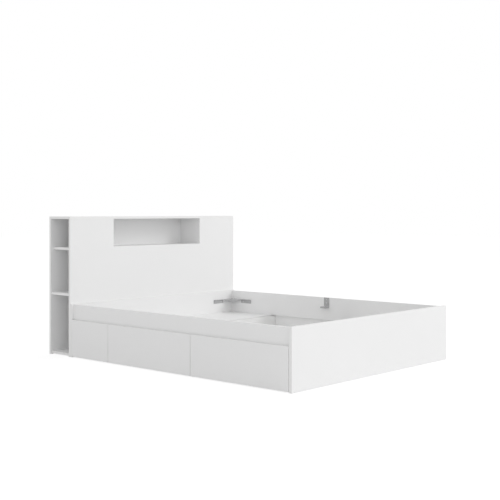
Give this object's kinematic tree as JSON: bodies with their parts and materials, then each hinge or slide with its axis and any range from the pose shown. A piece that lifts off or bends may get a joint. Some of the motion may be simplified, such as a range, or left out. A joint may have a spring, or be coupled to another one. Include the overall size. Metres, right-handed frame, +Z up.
{
  "type": "storage bed",
  "caption": "White panel bed frame with roll-out drawers under both sides and a deep bookcase headboard with a niche and open end shelves.",
  "frame": {"origin": "on the floor at the middle of the bed's footprint", "axes": "+X to the right seen from the foot, +Y from the foot to the headboard, +Z up"},
  "size_m": [1.7, 2.289, 1],
  "materials": {
    "white_board": "matt white melamine-faced board with white edging",
    "drawer_board": "plain white drawer board, matt",
    "bracket_steel": "grey satin powder coat on pressed steel",
    "zinc_steel": "bright zinc plate",
    "wheel_plastic": "dark grey moulded plastic"
  },
  "bodies": {
    "bed_frame": {"foot_panel": "white_board", "head_panel": "white_board", "left_side_rail": "white_board", "right_side_rail": "white_board", "left_fixed_front": "white_board", "right_fixed_front": "white_board", "head_deck": "white_board", "head_partition": "white_board", "mid_partition": "white_board", "headboard_front": "white_board", "headboard_back": "white_board", "headboard_top": "white_board", "headboard_bottom": "white_board", "niche_shelf": "white_board", "headboard_left_divider": "white_board", "headboard_right_divider": "white_board", "left_upper_shelf": "white_board", "left_lower_shelf": "white_board", "right_upper_shelf": "white_board", "right_lower_shelf": "white_board", "corner_bracket_foot_left": "bracket_steel", "corner_bracket_foot_right": "bracket_steel", "corner_bracket_head_left": "bracket_steel", "corner_bracket_head_right": "bracket_steel", "mid_bracket_left": "bracket_steel", "mid_bracket_right": "bracket_steel", "bracket_screws": "zinc_steel", "headboard_screws": "zinc_steel"},
    "left_foot_drawer": {"left_foot_drawer_front": "white_board", "left_foot_drawer_foot_side": "drawer_board", "left_foot_drawer_head_side": "drawer_board", "left_foot_drawer_back": "drawer_board", "left_foot_drawer_bottom": "drawer_board", "left_foot_drawer_castors": "zinc_steel"},
    "left_foot_drawer_front_wheels": {"left_foot_drawer_front_wheels": "wheel_plastic"},
    "left_foot_drawer_rear_wheels": {"left_foot_drawer_rear_wheels": "wheel_plastic"},
    "left_head_drawer": {"left_head_drawer_front": "white_board", "left_head_drawer_foot_side": "drawer_board", "left_head_drawer_head_side": "drawer_board", "left_head_drawer_back": "drawer_board", "left_head_drawer_bottom": "drawer_board", "left_head_drawer_castors": "zinc_steel"},
    "left_head_drawer_front_wheels": {"left_head_drawer_front_wheels": "wheel_plastic"},
    "left_head_drawer_rear_wheels": {"left_head_drawer_rear_wheels": "wheel_plastic"},
    "right_foot_drawer": {"right_foot_drawer_front": "white_board", "right_foot_drawer_foot_side": "drawer_board", "right_foot_drawer_head_side": "drawer_board", "right_foot_drawer_back": "drawer_board", "right_foot_drawer_bottom": "drawer_board", "right_foot_drawer_castors": "zinc_steel"},
    "right_foot_drawer_front_wheels": {"right_foot_drawer_front_wheels": "wheel_plastic"},
    "right_foot_drawer_rear_wheels": {"right_foot_drawer_rear_wheels": "wheel_plastic"},
    "right_head_drawer": {"right_head_drawer_front": "white_board", "right_head_drawer_foot_side": "drawer_board", "right_head_drawer_head_side": "drawer_board", "right_head_drawer_back": "drawer_board", "right_head_drawer_bottom": "drawer_board", "right_head_drawer_castors": "zinc_steel"},
    "right_head_drawer_front_wheels": {"right_head_drawer_front_wheels": "wheel_plastic"},
    "right_head_drawer_rear_wheels": {"right_head_drawer_rear_wheels": "wheel_plastic"}
  },
  "joints": [
    {"name": "left_foot_drawer_slide", "type": "slide", "parent": "bed_frame", "child": "left_foot_drawer", "axis": [-1, 0, 0], "range_m": [0, 0.6]},
    {"name": "left_foot_drawer_front_wheels_spin", "type": "hinge", "parent": "left_foot_drawer", "child": "left_foot_drawer_front_wheels", "pos_m": [-0.762, -0.72025, 0.015], "axis": [0, -1, 0], "range_deg": [0, 2295]},
    {"name": "left_foot_drawer_rear_wheels_spin", "type": "hinge", "parent": "left_foot_drawer", "child": "left_foot_drawer_rear_wheels", "pos_m": [-0.252, -0.72025, 0.015], "axis": [0, -1, 0], "range_deg": [0, 2295]},
    {"name": "left_head_drawer_slide", "type": "slide", "parent": "bed_frame", "child": "left_head_drawer", "axis": [-1, 0, 0], "range_m": [0, 0.6]},
    {"name": "left_head_drawer_front_wheels_spin", "type": "hinge", "parent": "left_head_drawer", "child": "left_head_drawer_front_wheels", "pos_m": [-0.762, 0.08125, 0.015], "axis": [0, -1, 0], "range_deg": [0, 2295]},
    {"name": "left_head_drawer_rear_wheels_spin", "type": "hinge", "parent": "left_head_drawer", "child": "left_head_drawer_rear_wheels", "pos_m": [-0.252, 0.08125, 0.015], "axis": [0, -1, 0], "range_deg": [0, 2295]},
    {"name": "right_foot_drawer_slide", "type": "slide", "parent": "bed_frame", "child": "right_foot_drawer", "axis": [1, 0, 0], "range_m": [0, 0.6]},
    {"name": "right_foot_drawer_front_wheels_spin", "type": "hinge", "parent": "right_foot_drawer", "child": "right_foot_drawer_front_wheels", "pos_m": [0.762, -0.72025, 0.015], "axis": [0, 1, 0], "range_deg": [0, 2295]},
    {"name": "right_foot_drawer_rear_wheels_spin", "type": "hinge", "parent": "right_foot_drawer", "child": "right_foot_drawer_rear_wheels", "pos_m": [0.252, -0.72025, 0.015], "axis": [0, 1, 0], "range_deg": [0, 2295]},
    {"name": "right_head_drawer_slide", "type": "slide", "parent": "bed_frame", "child": "right_head_drawer", "axis": [1, 0, 0], "range_m": [0, 0.6]},
    {"name": "right_head_drawer_front_wheels_spin", "type": "hinge", "parent": "right_head_drawer", "child": "right_head_drawer_front_wheels", "pos_m": [0.762, 0.08125, 0.015], "axis": [0, 1, 0], "range_deg": [0, 2295]},
    {"name": "right_head_drawer_rear_wheels_spin", "type": "hinge", "parent": "right_head_drawer", "child": "right_head_drawer_rear_wheels", "pos_m": [0.252, 0.08125, 0.015], "axis": [0, 1, 0], "range_deg": [0, 2295]}
  ],
  "couplings": [
    {"joint": "left_foot_drawer_front_wheels_spin", "follows": "left_foot_drawer_slide", "rad_per_m": 66.667},
    {"joint": "left_foot_drawer_rear_wheels_spin", "follows": "left_foot_drawer_slide", "rad_per_m": 66.667},
    {"joint": "left_head_drawer_front_wheels_spin", "follows": "left_head_drawer_slide", "rad_per_m": 66.667},
    {"joint": "left_head_drawer_rear_wheels_spin", "follows": "left_head_drawer_slide", "rad_per_m": 66.667},
    {"joint": "right_foot_drawer_front_wheels_spin", "follows": "right_foot_drawer_slide", "rad_per_m": 66.667},
    {"joint": "right_foot_drawer_rear_wheels_spin", "follows": "right_foot_drawer_slide", "rad_per_m": 66.667},
    {"joint": "right_head_drawer_front_wheels_spin", "follows": "right_head_drawer_slide", "rad_per_m": 66.667},
    {"joint": "right_head_drawer_rear_wheels_spin", "follows": "right_head_drawer_slide", "rad_per_m": 66.667}
  ]
}
